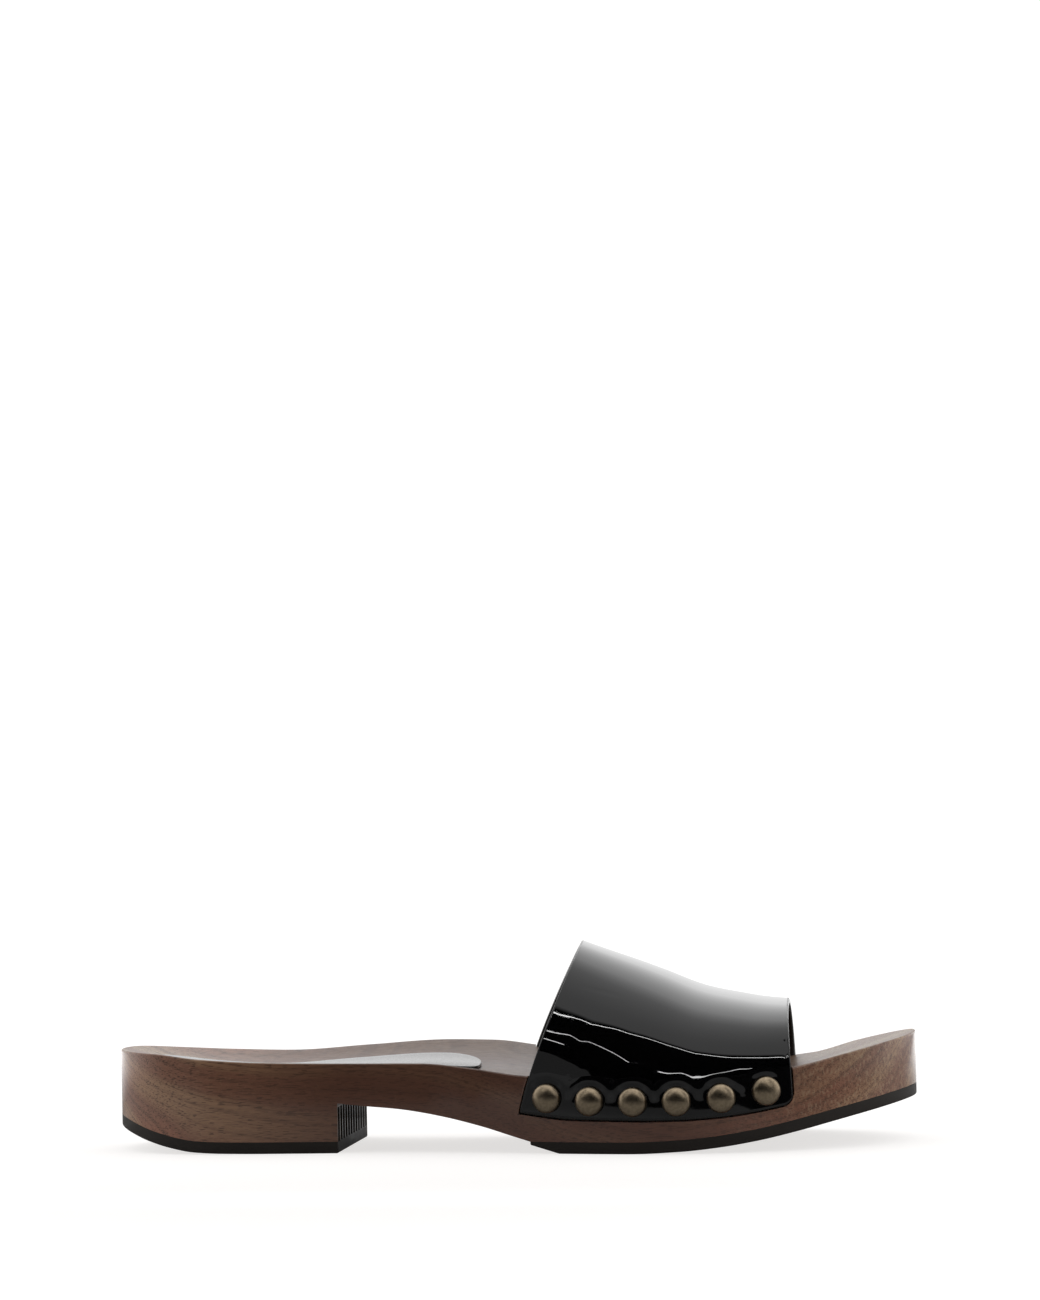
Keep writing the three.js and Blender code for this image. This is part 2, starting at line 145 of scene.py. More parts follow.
# Edges sharper than these angles in degrees are left sharp
SHARP_ANGLE = 40.0
WOOD_SHARP_ANGLE = 32.0
NAIL_SHARP_ANGLE = 50.0

# Slots of the strap's materials, and of the sole's after that of its sides
PATENT, EDGE_PAINT, LINING = range(3)
WOOD_FLUTES, WOOD_FOOTBED = 1, 2

# Where the painted breast lies about the heel's length, and how far up a face of the footbed looks
BREAST_REACH = (-FLUTE_DEPTH - 0.3, 0.1)
BREAST_SLOPE = 0.2
FOOTBED_SLOPE = 0.6


def table(columns, *rows):
    """Named columns of a short table."""
    return {name: np.array(values) for name, values in zip(columns.split(), zip(*rows))}


# Plan of the sole, as shares of the ball width
PLAN = table(
    "along middle half",
    (0.00, 0.000, 0.345),
    (0.14, -0.003, 0.348),
    (0.24, -0.005, 0.344),
    (0.32, -0.012, 0.334),
    (0.40, -0.025, 0.331),
    (0.46, -0.033, 0.344),
    (0.52, -0.035, 0.374),
    (0.60, -0.023, 0.435),
    (0.66, -0.010, 0.475),
    (0.74, 0.008, 0.500),
    (0.84, 0.033, 0.500),
    (0.93, 0.055, 0.500),
    (1.00, 0.060, 0.500),
)

# Footbed rims and dish, as shares of the heel seat height
FOOTBED = table(
    "along lateral medial dish",
    (0.00, 1.129, 1.125, 0.00),
    (0.06, 1.114, 1.064, 0.12),
    (0.12, 1.057, 1.029, 0.17),
    (0.20, 1.014, 1.012, 0.19),
    (0.30, 0.997, 1.068, 0.185),
    (0.40, 0.989, 1.120, 0.175),
    (0.46, 0.936, 1.107, 0.16),
    (0.52, 0.861, 1.029, 0.13),
    (0.60, 0.818, 0.914, 0.11),
    (0.70, 0.807, 0.843, 0.09),
    (0.80, 0.850, 0.829, 0.07),
    (0.86, 0.918, 0.880, 0.06),
    (0.92, 1.036, 1.032, 0.05),
    (1.00, 1.200, 1.218, 0.00),
)

# Lift of the tread, as shares of the heel rocker and of the toe spring
HEEL_TREAD = table(
    "along lift",
    (0.000, 1.20),
    (0.020, 0.95),
    (0.050, 0.57),
    (0.080, 0.28),
    (0.110, 0.09),
    (0.150, 0.02),
    (0.200, 0.00),
    (1.000, 0.00),
)
TOE_TREAD = table(
    "along lift",
    (0.000, 0.000),
    (0.660, 0.000),
    (0.720, 0.045),
    (0.768, 0.125),
    (0.816, 0.255),
    (0.864, 0.435),
    (0.912, 0.638),
    (0.960, 0.835),
    (1.000, 1.000),
)

# Arch from the heel breast to the tread
ARCH = table(
    "along height",
    (0.00, 1.000),
    (0.14, 0.924),
    (0.32, 0.839),
    (0.53, 0.657),
    (0.74, 0.398),
    (0.91, 0.136),
    (1.00, 0.000),
)

# Strap from its rear to its front edge
STRAP = table(
    "along crest hem fullness",
    (0.0, 1.000, 1.23, 2.3),
    (0.2, 0.908, 0.96, 2.3),
    (0.4, 0.793, 0.92, 2.3),
    (0.6, 0.662, 0.84, 2.3),
    (0.8, 0.566, 0.75, 2.3),
    (1.0, 0.472, 0.70, 2.3),
)

# Half the width of the heel sock, as a share of its full half
SOCK = table(
    "along half",
    (0.00, 0.76),
    (0.30, 0.80),
    (0.55, 0.95),
    (0.75, 0.98),
    (1.00, 0.88),
)


def value_at(rows, column, along):
    """A table's column at any place, as one smooth curve through its rows."""
    xs, ys = rows["along"], rows[column]
    rise = np.diff(ys) / np.diff(xs)
    before, after = rise[:-1], rise[1:]
    turns = before * after <= 0
    total = np.where(turns, 1.0, before + after)
    inner = np.where(turns, 0.0, 2 * before * after / total)
    slopes = np.concatenate([rise[:1], inner, rise[-1:]])
    along = np.clip(along, xs[0], xs[-1])
    i = np.clip(np.searchsorted(xs, along, side="right") - 1, 0, len(xs) - 2)
    span = xs[i + 1] - xs[i]
    t = (along - xs[i]) / span
    return (
        ys[i] * (1 + 2 * t) * (1 - t) ** 2
        + ys[i + 1] * t * t * (3 - 2 * t)
        + slopes[i] * span * t * (1 - t) ** 2
        - slopes[i + 1] * span * t * t * (1 - t)
    )


def lerp(a, b, t):
    return a + (b - a) * t


def round_end(depth, length, fullness):
    """How far a rounded end has opened at a depth from its tip, from 0 to 1."""
    t = np.clip(1 - depth / length, 0, 1)
    return (1 - t**fullness) ** (1 / fullness)


def sole_edges(x):
    """The sole's outer and inner edge at a place along it."""
    along = x / SOLE_LENGTH
    opened = round_end(x, HEEL_CAP_LENGTH, HEEL_ROUNDNESS)
    opened = opened * round_end(SOLE_LENGTH - x, TOE_CAP_LENGTH, TOE_ROUNDNESS)
    middle = value_at(PLAN, "middle", along) * BALL_WIDTH
    half = value_at(PLAN, "half", along) * BALL_WIDTH * opened
    return middle - half, middle + half


def footbed_height(x, y):
    """Height of the footbed at a point of the plan."""
    along = x / SOLE_LENGTH
    lateral, medial = sole_edges(np.clip(x, 1, SOLE_LENGTH - 1))
    across = np.clip((y - lateral) / (medial - lateral), 0, 1)
    outer = value_at(FOOTBED, "lateral", along)
    inner = value_at(FOOTBED, "medial", along)
    hollow = value_at(FOOTBED, "dish", along) * (1 - (2 * across - 1) ** 2)
    return HEEL_SEAT_HEIGHT * (lerp(outer, inner, across) - hollow)


def heel_tread(x):
    return HEEL_ROCKER * value_at(HEEL_TREAD, "lift", x / SOLE_LENGTH)


def toe_tread(x):
    return TOE_SPRING * value_at(TOE_TREAD, "lift", x / SOLE_LENGTH)


def over_rubber(tread, x):
    """Height of the wood's underside over the rubber, measured square to the tread."""
    step = 1.0
    slope = (tread(x + step) - tread(x - step)) / (2 * step)
    return tread(x) + RUBBER_THICKNESS * np.hypot(1, slope)


def arch_underside(x):
    share = value_at(ARCH, "height", (x - HEEL_LENGTH) / (TREAD_START - HEEL_LENGTH))
    return lerp(over_rubber(toe_tread, TREAD_START), ARCH_HEIGHT, share)


def skew_at(across):
    """How far back the strap's inner side lies behind its outer side."""
    return lerp(REAR_SKEW, FRONT_SKEW, across)


def hem_along(across, medial):
    """Where the strap's hem lies along the sole, from its rear edge (0) to its front edge (1)."""
    outer = SOLE_LENGTH - STRAP_SET_BACK - STRAP_WIDTH * (1 - across)
    return outer - np.where(medial, skew_at(across), 0)


def hem_height(across, medial):
    """Height of the hem, which rounds up at its front corner."""
    from_front = np.clip(STRAP_WIDTH * (1 - across), 0, HEM_CORNER_RADIUS)
    drop = np.sqrt(HEM_CORNER_RADIUS**2 - (HEM_CORNER_RADIUS - from_front) ** 2)
    margin = HEM_MARGIN * value_at(STRAP, "hem", across)
    return over_rubber(toe_tread, hem_along(across, medial)) + margin + HEM_CORNER_RADIUS - drop


def crest_height(across):
    rim = value_at(FOOTBED, "lateral", hem_along(across, False) / SOLE_LENGTH)
    return HEEL_SEAT_HEIGHT * rim + INSTEP_RISE * value_at(STRAP, "crest", across)


def lean_at(across, height, hem):
    """How far a point of the strap at some height lies ahead of its hem."""
    climbed = np.maximum(height - hem, 0) / (crest_height(across) - hem)
    return lerp(REAR_LEAN, FRONT_LEAN, across) * climbed**LEAN_CURVE


def strap_point(around, across, lowered=0.0):
    """A point of the strap's outer face, from the outer hem (0) over the crest to the inner hem (1)."""
    medial = around >= 0.5
    upward = 1 - np.abs(2 * around - 1)
    hem = hem_height(across, medial) - lowered
    near_rim = hem_along(across, medial) + lean_at(across, HEEL_SEAT_HEIGHT, hem)
    outer = value_at(FOOTBED, "lateral", near_rim / SOLE_LENGTH)
    inner = value_at(FOOTBED, "medial", near_rim / SOLE_LENGTH)
    rim = HEEL_SEAT_HEIGHT * np.where(medial, inner, outer)
    turn = math.pi / 2 * np.clip((upward - SIDE_SHARE) / (1 - SIDE_SHARE), 0, 1)
    power = 2 / value_at(STRAP, "fullness", across)
    climb = np.sin(turn) ** power
    reach = np.maximum(np.cos(turn), 0) ** power
    below = lerp(hem, rim, np.clip(upward / SIDE_SHARE, 0, 1))
    z = np.where(upward < SIDE_SHARE, below, lerp(rim, crest_height(across), climb))
    skew_share = np.where(medial, (1 + reach) / 2, (1 - reach) / 2)
    x = hem_along(across, False) - skew_at(across) * skew_share + lean_at(across, z, hem)
    lateral_edge, medial_edge = sole_edges(x)
    y = lerp(CREST_OFFSET, np.where(medial, medial_edge, lateral_edge), reach)
    return np.stack([x, y, z], axis=-1)


def strap_outward(around, across, lowered=0.0):
    """Unit direction out of the strap's outer face."""
    nudge = 1e-4
    ahead = strap_point(around, across + nudge, lowered) - strap_point(around, across - nudge, lowered)
    onward = strap_point(np.minimum(around + nudge, 1), across, lowered)
    onward = onward - strap_point(np.maximum(around - nudge, 0), across, lowered)
    outward = np.cross(ahead, onward)
    return outward / np.linalg.norm(outward, axis=-1, keepdims=True)


# From millimetres in the sole's frame to metres in the row frame
STATIONS = np.linspace(0, SOLE_LENGTH, 501)
wood_low, wood_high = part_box("wooden_sole")
ORIGIN = np.array([
    SOLE_LENGTH / 2,
    sole_edges(STATIONS)[0].min() - wood_low.y / MM,
    0.0,
])


def to_row(points):
    return (np.asarray(points, float) - ORIGIN) * MM


def to_mesh(name, points, faces, sharp_angle=SHARP_ANGLE, finishes=None):
    """A piece from points in millimetres, its doubled points joined; finishes are its faces' slots."""
    mesh = bpy.data.meshes.new(name)
    mesh.from_pydata([tuple(p) for p in to_row(points)], [], [tuple(f) for f in faces])
    if finishes is not None:
        mesh.polygons.foreach_set("material_index", finishes)
    tidy = bmesh.new()
    tidy.from_mesh(mesh)
    bmesh.ops.remove_doubles(tidy, verts=tidy.verts, dist=1e-6)
    bmesh.ops.dissolve_degenerate(tidy, edges=tidy.edges, dist=1e-7)
    bmesh.ops.recalc_face_normals(tidy, faces=tidy.faces)
    tidy.to_mesh(mesh)
    tidy.free()
    shade(mesh, sharp_angle)
    piece = bpy.data.objects.new(name, mesh)
    bpy.context.scene.collection.objects.link(piece)
    return piece


def shade(mesh, sharp_angle):
    """Smooth shading that breaks at edges sharper than an angle in degrees."""
    mesh.shade_smooth()
    mesh.set_sharp_from_angle(angle=math.radians(sharp_angle))


def turned(length, steps, from_tip):
    """Places along a rounded end, close together at its tip."""
    turn = np.linspace(0, math.pi / 2, steps + 1)
    return from_tip + length * (1 - np.cos(turn))


def grid_rim(n, m):
    """The places of a grid's rim, once round."""
    rim = [(i, 0) for i in range(n)] + [(n - 1, j) for j in range(1, m)]
    return rim + [(i, m - 1) for i in range(n - 2, -1, -1)] + [(0, j) for j in range(m - 2, 0, -1)]


def ring_faces(rings, count):
    """Faces between neighbouring rings that have the same number of points."""
    faces = []
    for k in range(rings - 1):
        for c in range(count):
            d = (c + 1) % count
            faces.append((k * count + c, k * count + d, (k + 1) * count + d, (k + 1) * count + c))
    return faces


def slab(name, stations, edges_at, low, high, low_round, high_round, across_steps=16):
    """A closed piece between two surfaces inside an outline, with its lower and upper edges rounded."""
    lateral, medial = edges_at(stations)
    across = np.linspace(0, 1, across_steps + 1)
    plan_x = np.repeat(stations[:, None], across_steps + 1, axis=1)
    plan_y = lerp(lateral[:, None], medial[:, None], across[None, :])
    n, m = plan_x.shape
    rim = grid_rim(n, m)
    rim_i = np.array([i for i, _ in rim])
    rim_j = np.array([j for _, j in rim])
    loop = np.stack([plan_x[rim_i, rim_j], plan_y[rim_i, rim_j]], axis=1)
    inward = inward_normals(loop)

    def ring(inset, surface, sink):
        flat = loop + inward * inset
        return np.column_stack([flat, surface(flat[:, 0], flat[:, 1]) + sink])

    turns = np.linspace(0, math.pi / 2, 6)
    rings = [ring(low_round * (1 - math.sin(a)), low, low_round * (1 - math.cos(a))) for a in turns]
    rings += [ring(high_round * (1 - math.cos(a)), high, -high_round * (1 - math.sin(a))) for a in turns]
    count = len(rim)
    points = list(np.concatenate(rings))
    faces = ring_faces(len(rings), count)
    for ring_index, surface in ((0, low), (len(rings) - 1, high)):
        edge = rings[ring_index]
        index = np.full((n, m), -1)
        index[rim_i, rim_j] = ring_index * count + np.arange(count)
        row_of = {(i, j): c for c, (i, j) in enumerate(rim)}
        for i in range(1, n - 1):
            start, end = edge[row_of[(i, 0)]], edge[row_of[(i, m - 1)]]
            for j in range(1, m - 1):
                flat = lerp(start[:2], end[:2], across[j])
                index[i, j] = len(points)
                points.append(np.array([flat[0], flat[1], float(surface(flat[0], flat[1]))]))
        for i in range(n - 1):
            for j in range(m - 1):
                faces.append((index[i, j], index[i + 1, j], index[i + 1, j + 1], index[i, j + 1]))
    return to_mesh(name, points, faces)


def inward_normals(loop):
    """Direction into a closed outline at each of its points, longer at corners as a mitre is."""
    apart = np.linalg.norm(np.roll(loop, -1, axis=0) - loop, axis=1) > 1e-6
    keep = np.flatnonzero(apart)
    kept = loop[keep]
    onward = np.roll(kept, -1, axis=0) - kept
    onward /= np.linalg.norm(onward, axis=1, keepdims=True)
    left = np.stack([-onward[:, 1], onward[:, 0]], axis=1)
    before = np.roll(left, 1, axis=0)
    mitre = (left + before) / (1 + np.sum(left * before, axis=1, keepdims=True))
    area = np.sum(kept[:, 0] * np.roll(kept[:, 1], -1) - np.roll(kept[:, 0], -1) * kept[:, 1])
    mitre *= math.copysign(1, area)
    owner = np.searchsorted(keep, np.arange(len(loop)))
    return mitre[owner % len(keep)]


def extruded(name, outline, axis, start, end):
    """A closed prism of an outline along y (points x, z) or along z (points x, y)."""
    n = len(outline)
    points = []
    for level in (start, end):
        for a, b in outline:
            points.append((a, level, b) if axis == "y" else (a, b, level))
    faces = [tuple(range(n)), tuple(range(2 * n - 1, n - 1, -1))]
    faces += [(k, (k + 1) % n, n + (k + 1) % n, n + k) for k in range(n)]
    return to_mesh(name, points, faces)


def cut(piece, cutter):
    """Takes the cutter's solid out of the piece, and removes the cutter."""
    modifier = piece.modifiers.new("cut", "BOOLEAN")
    modifier.operation = "DIFFERENCE"
    modifier.solver = "EXACT"
    modifier.object = cutter
    apply_modifiers(piece)
    bpy.data.objects.remove(cutter)


def apply_modifiers(piece):
    depsgraph = bpy.context.evaluated_depsgraph_get()
    result = bpy.data.meshes.new_from_object(piece.evaluated_get(depsgraph))
    piece.modifiers.clear()
    piece.data = result


def split_level(piece, height):
    """Divides a piece's faces where they cross a height, so that each side can take its own finish."""
    divided = bmesh.new()
    divided.from_mesh(piece.data)
    whole = list(divided.verts) + list(divided.edges) + list(divided.faces)
    bmesh.ops.bisect_plane(divided, geom=whole, plane_co=(0, 0, height * MM), plane_no=(0, 0, 1))
    divided.to_mesh(piece.data)
    divided.free()


def toe_stations():
    return SOLE_LENGTH - turned(TOE_CAP_LENGTH, 64, 0)[::-1]


def sole_stations():
    heel = turned(HEEL_CAP_LENGTH, 44, 0)
    waist = np.linspace(HEEL_CAP_LENGTH, SOLE_LENGTH - TOE_CAP_LENGTH, 85)[1:-1]
    return np.concatenate([heel, waist, toe_stations()])


# Pieces


def wooden_sole():
    """The carved sole: outline and footbed, less the rubbers' room, the strap's rebates and flutes."""
    wood = slab(
        "sole_wood",
        sole_stations(),
        sole_edges,
        lambda x, y: np.full(np.shape(x), -BEYOND),
        footbed_height,
        0.0,
        RIM_RADIUS,
        across_steps=26,
    )
    cut(wood, under_wood())
    cut(wood, strap_room())
    cut(wood, breast_flutes())
    split_level(wood, ARCH_HEIGHT - FLUTE_LAND)
    shade(wood.data, WOOD_SHARP_ANGLE)
    return wood


def under_wood():
    """Everything below the wood, as a side profile carried across the sole."""
    heel = np.linspace(-BEYOND, HEEL_LENGTH, 110)
    arch = np.linspace(HEEL_LENGTH, TREAD_START, 60)
    toe = np.linspace(TREAD_START, SOLE_LENGTH + BEYOND, 140)[1:]
    profile = [(x, over_rubber(heel_tread, x)) for x in heel]
    profile += [(x, arch_underside(x)) for x in arch]
    profile += [(x, over_rubber(toe_tread, x)) for x in toe]
    profile += [(SOLE_LENGTH + BEYOND, -3 * BEYOND), (-BEYOND, -3 * BEYOND)]
    return extruded("under_wood", profile, "y", -BALL_WIDTH, BALL_WIDTH)


def strap_room():
    """The room that the strap takes in the wood, a gap wider than the strap all round."""
    across = lerp(-GAP / STRAP_WIDTH, 1 + GAP / STRAP_WIDTH, eased(90))
    around = np.linspace(0, 1, 221)
    u, v = np.meshgrid(across, around, indexing="ij")
    outer = strap_point(v, u, GAP)
    outward = strap_outward(v, u, GAP)
    return sheet_piece("strap_room", outer + outward * BEYOND / 2, outer - outward * (LEATHER_WALL + GAP))


def eased(steps):
    """Numbers from 0 to 1, closer together at both ends."""
    return (1 - np.cos(np.linspace(0, math.pi, steps + 1))) / 2


def sheet_piece(name, outer, inner, at_edge=None):
    """A closed piece between two matching grids of points, with straight walls round its edge."""
    n, m = outer.shape[:2]
    index = np.arange(n * m).reshape(n, m)
    below = index + n * m
    faces = [quad(index, i, j) for i in range(n - 1) for j in range(m - 1)]
    faces += [quad(below, i, j) for i in range(n - 1) for j in range(m - 1)]
    rim = grid_rim(n, m)
    for start, end in zip(rim, rim[1:] + rim[:1]):
        faces.append((index[start], index[end], below[end], below[start]))
    finishes = None
    if at_edge is not None:
        upper = np.where(at_edge[:-1, :-1] & at_edge[1:, 1:], EDGE_PAINT, PATENT).ravel()
        lower = np.full(upper.size, LINING)
        finishes = np.concatenate([upper, lower, np.full(len(rim), EDGE_PAINT)]).astype(np.int32)
    points = np.concatenate([outer.reshape(-1, 3), inner.reshape(-1, 3)])
    return to_mesh(name, points, faces, finishes=finishes)


def quad(index, i, j):
    return (index[i, j], index[i + 1, j], index[i + 1, j + 1], index[i, j + 1])


def breast_flutes():
    """Round grooves side by side down the heel breast, as one comb-shaped prism."""
    lateral, medial = sole_edges(HEEL_LENGTH)
    pitch = (medial - lateral) / FLUTE_COUNT
    half = (pitch - FLUTE_RIDGE) / 2
    radius = (half**2 + FLUTE_DEPTH**2) / (2 * FLUTE_DEPTH)
    face, outside = HEEL_LENGTH + FLUTE_CLEARANCE, HEEL_LENGTH + FLUTE_OVERRUN
    first, last = float(lateral) - FLUTE_OVERRUN, float(medial) + FLUTE_OVERRUN
    comb = [(outside, first), (face, first)]
    for k in range(FLUTE_COUNT):
        middle = lateral + pitch * (k + 0.5)
        for turn in np.linspace(-1, 1, 15):
            reach = half * turn
            depth = math.sqrt(radius**2 - reach**2) - (radius - FLUTE_DEPTH)
            comb.append((face - depth, float(middle + reach)))
    comb += [(face, last), (outside, last)]
    return extruded("breast_flutes", comb, "z", -BEYOND, ARCH_HEIGHT - FLUTE_LAND)


def heel_rubber():
    back = turned(HEEL_CAP_LENGTH, 40, 0)
    front = np.linspace(HEEL_CAP_LENGTH, HEEL_LENGTH, 26)[1:]
    return slab(
        "heel_rubber",
        np.concatenate([back, front]),
        sole_edges,
        lambda x, y: heel_tread(x),
        lambda x, y: over_rubber(heel_tread, x) - GLUE_LINE,
        RUBBER_EDGE,
        RUBBER_UPPER_EDGE,
    )


def forefoot_rubber():
    """The rubber under the forefoot, skived down to the floor at its rear edge."""
    skive_end = TREAD_START + SKIVE_LENGTH
    step = RUBBER_THICKNESS - GAP - SKIVE_STEP

    def under(x, y):
        skive = step * (skive_end - x) / SKIVE_LENGTH
        return np.where(x < skive_end, skive, toe_tread(x))

    skive = np.linspace(TREAD_START, skive_end, 7)
    middle = np.linspace(skive_end, SOLE_LENGTH - TOE_CAP_LENGTH, 40)[1:]
    return slab(
        "forefoot_rubber",
        np.concatenate([skive, middle, toe_stations()[1:]]),
        sole_edges,
        under,
        lambda x, y: over_rubber(toe_tread, x) - GLUE_LINE,
        RUBBER_EDGE,
        RUBBER_UPPER_EDGE,
    )


def heel_sock():
    """A tongue of leather that lies on the footbed along the sole's middle line."""
    end = SOCK_INSET + SOCK_LENGTH

    def edges_at(x):
        opened = round_end(x - SOCK_INSET, SOCK_HEEL_ROUND, SOCK_HEEL_ROUNDNESS)
        opened = opened * round_end(end - x, SOCK_TIP_ROUND, SOCK_TIP_ROUNDNESS)
        half = SOCK_WIDTH / 2 * value_at(SOCK, "half", (x - SOCK_INSET) / SOCK_LENGTH) * opened
        middle = value_at(PLAN, "middle", x / SOLE_LENGTH) * BALL_WIDTH
        return middle - half, middle + half

    back = turned(SOCK_HEEL_ROUND, 24, SOCK_INSET)
    middle = np.linspace(SOCK_INSET + SOCK_HEEL_ROUND, end - SOCK_TIP_ROUND, 50)[1:-1]
    tip = end - turned(SOCK_TIP_ROUND, 24, 0)[::-1]
    return slab(
        "sock_leather",
        np.concatenate([back, middle, tip]),
        edges_at,
        lambda x, y: footbed_height(x, y) + GAP,
        lambda x, y: footbed_height(x, y) + GAP + SOCK_THICKNESS,
        SOCK_UNDER_EDGE,
        SOCK_EDGE,
    )


def stud_seats(medial):
    """The seat of each nail on one side of the strap, and the direction it points out."""
    pitch = (STRAP_WIDTH - STUD_REAR_INSET - STUD_FRONT_INSET) / (STUD_COUNT - 1)
    seats = []
    for k in range(STUD_COUNT):
        across = (STUD_REAR_INSET + pitch * k) / STRAP_WIDTH
        x = float(hem_along(across, medial))
        side = 1 if medial else 0
        z = float(hem_height(across, medial)) + STUD_RISE
        step = 0.5
        slope = (sole_edges(x + step)[side] - sole_edges(x - step)[side]) / (2 * step)
        outward = np.array([-slope, 1.0, 0.0]) * (1 if medial else -1)
        outward /= np.linalg.norm(outward)
        seats.append((np.array([x, float(sole_edges(x)[side]), z]), outward))
    return seats


def domed_nail(name, seat, outward):
    """A nail's shank, its head's flat underside, a thin rim with a soft edge and the dome."""
    radius = STUD_HEAD_DIAMETER / 2
    shank = STUD_SHANK_DIAMETER / 2
    soft = STUD_HEAD_RIM / 3
    dome_height = STUD_HEAD_HEIGHT - STUD_HEAD_RIM
    profile = [(0, -STUD_SHANK_LENGTH), (shank, shank - STUD_SHANK_LENGTH), (shank, GAP)]
    profile += [(radius - soft, GAP), (radius, GAP + soft)]
    for turn in np.linspace(0, math.pi / 2, STUD_DOME_STEPS):
        profile.append((radius * math.cos(turn), GAP + STUD_HEAD_RIM + dome_height * math.sin(turn)))
    side = np.cross([0.0, 0.0, 1.0], outward)
    top = np.cross(outward, side)
    angles = np.arange(STUD_SEGMENTS) * 2 * math.pi / STUD_SEGMENTS
    points = []
    for reach, height in profile:
        for a in angles:
            points.append(seat + outward * height + (side * math.cos(a) + top * math.sin(a)) * reach)
    faces = ring_faces(len(profile), STUD_SEGMENTS)
    return to_mesh(name, points, faces, NAIL_SHARP_ANGLE)


def leather_strap():
    """The hollow strap: soft edges, a pressed line inside the front edge, and dimples at the nails."""
    near_edge = np.array(ROWS_NEAR_EDGE)
    middle = np.linspace(3.5, STRAP_WIDTH - 3.5, 118)
    run = np.concatenate([near_edge, middle, STRAP_WIDTH - near_edge[::-1]])
    across = run / STRAP_WIDTH
    side = np.concatenate([ROWS_NEAR_HEM, np.linspace(1.4, SIDE_LENGTH, 22)])
    arch = np.linspace(SIDE_SHARE / 2, 0.5, 74)[1:]
    half = np.concatenate([side / SIDE_LENGTH * SIDE_SHARE / 2, arch])
    around = np.concatenate([half, 1 - half[-2::-1]])
    u, v = np.meshgrid(across, around, indexing="ij")
    outer = strap_point(v, u)
    outward = strap_outward(v, u)
    to_side = np.minimum(run, STRAP_WIDTH - run)[:, None]
    to_hem = (1 - np.abs(2 * v - 1)) / SIDE_SHARE * SIDE_LENGTH
    past_side = np.maximum(STRAP_EDGE - to_side, 0)
    past_hem = np.maximum(STRAP_EDGE - to_hem, 0)
    rounded = STRAP_EDGE - np.sqrt(np.maximum(STRAP_EDGE**2 - past_side**2 - past_hem**2, 0))
    from_front = (STRAP_WIDTH - run)[:, None]
    fold = FOLD_DEPTH * np.exp(-(((from_front - FOLD_INSET) / FOLD_WIDTH) ** 2))
    relief = strap_relief(outer, u, v)
    at_edge = np.minimum(to_side, to_hem) < EDGE_PAINT_REACH
    return sheet_piece(
        "strap_leather",
        outer - outward * (rounded + fold - relief)[..., None],
        outer - outward * (LEATHER_WALL - rounded)[..., None],
        at_edge,
    )


def strap_relief(outer, across, around):
    """How far the leather stands out of its smooth form: drawn in over the nails, and a soft crease."""
    relief = np.zeros(across.shape)
    for medial in (False, True):
        for seat, _ in stud_seats(medial):
            reach = np.linalg.norm(outer - seat, axis=-1)
            above = np.clip((outer[..., 2] - seat[2]) / DIMPLE_RADIUS, 0, 1)
            pulled = np.exp(-((reach / DIMPLE_RADIUS) ** 4))
            swollen = np.exp(-(((reach - DIMPLE_RADIUS - SWELL_DISTANCE) / DIMPLE_SOFTNESS) ** 2))
            relief += DIMPLE_DEPTH * above * (SWELL_SHARE * swollen - pulled)
    run = np.clip((across - CREASE_START) / (CREASE_END - CREASE_START), 0, 1)
    trough = np.exp(-(((around - CREASE_AROUND) / CREASE_WIDTH) ** 2))
    return relief - CREASE_DEPTH * np.sin(math.pi * run) * trough


# Materials


def rgb(red, green, blue):
    """A colour from its screen values, 0 to 255, as linear light."""
    def linear(c):
        c /= 255
        return c / 12.92 if c <= 0.04045 else ((c + 0.055) / 1.055) ** 2.4

    return (linear(red), linear(green), linear(blue), 1.0)


# The heart of the tree lies beside and below the block, so its rings lean across the sole and drift
# along it. Spacings and sizes are in millimetres.
HEARTWOOD = (0.0, 0.060, -0.060)
RING_DRIFT = 0.06
RING_WARP = 14.0
BAND_SPACING = 7.5
LINE_SPACING = 1.1
FIBRE_SIZE = (8, 0.35, 0.35)
SPECK_SIZE = (0.8, 0.35, 0.35)
PORE_SIZE = (3.0, 0.3, 0.3)
PORE_BAND = (0.60, 0.68)
PORE_DARKNESS = 0.55
GRIT_SIZE = (0.9, 0.9, 1.5)
WOOD_DARK = rgb(118, 78, 60)
WOOD_LIGHT = rgb(138, 102, 76)
WOOD_RED = rgb(140, 86, 64)
WOOD_FIBRE = rgb(84, 54, 40)
WOOD_PORE = rgb(32, 19, 14)
WOOD_MEAN = rgb(116, 78, 59)
WOOD_PALE = rgb(168, 140, 112)
GRIT_DARKNESS = 0.55
GRIT_PALENESS = 0.3
# Tints multiplied into the wood's colour: the footbed's cool tint is painted sheen; the sides' changes
# nothing
SIDE_LACQUER = 1.0
SIDE_PAINTED_SHEEN = (1.0, 1.0, 1.0, 1.0)
FOOTBED_LACQUER = 0.12
FOOTBED_PAINTED_SHEEN = (0.84, 1.0, 1.12, 1.0)
WAIST_MIDDLE = 0.005
WAIST_TO_ENDS = (0.05, 0.11)
WAIST_PLAINNESS = 0.45
# Painted light: the waist's colour is darkened as painted shade, the heel's and toe's lightened as
# painted sheen
WAIST_PAINTED_SHADE = (0.80, 0.78, 0.78, 1.0)
HEEL_PAINTED_SHEEN = (1.45, 1.55, 1.55, 1.0)
TOE_PAINTED_SHEEN = (1.42, 1.54, 1.52, 1.0)


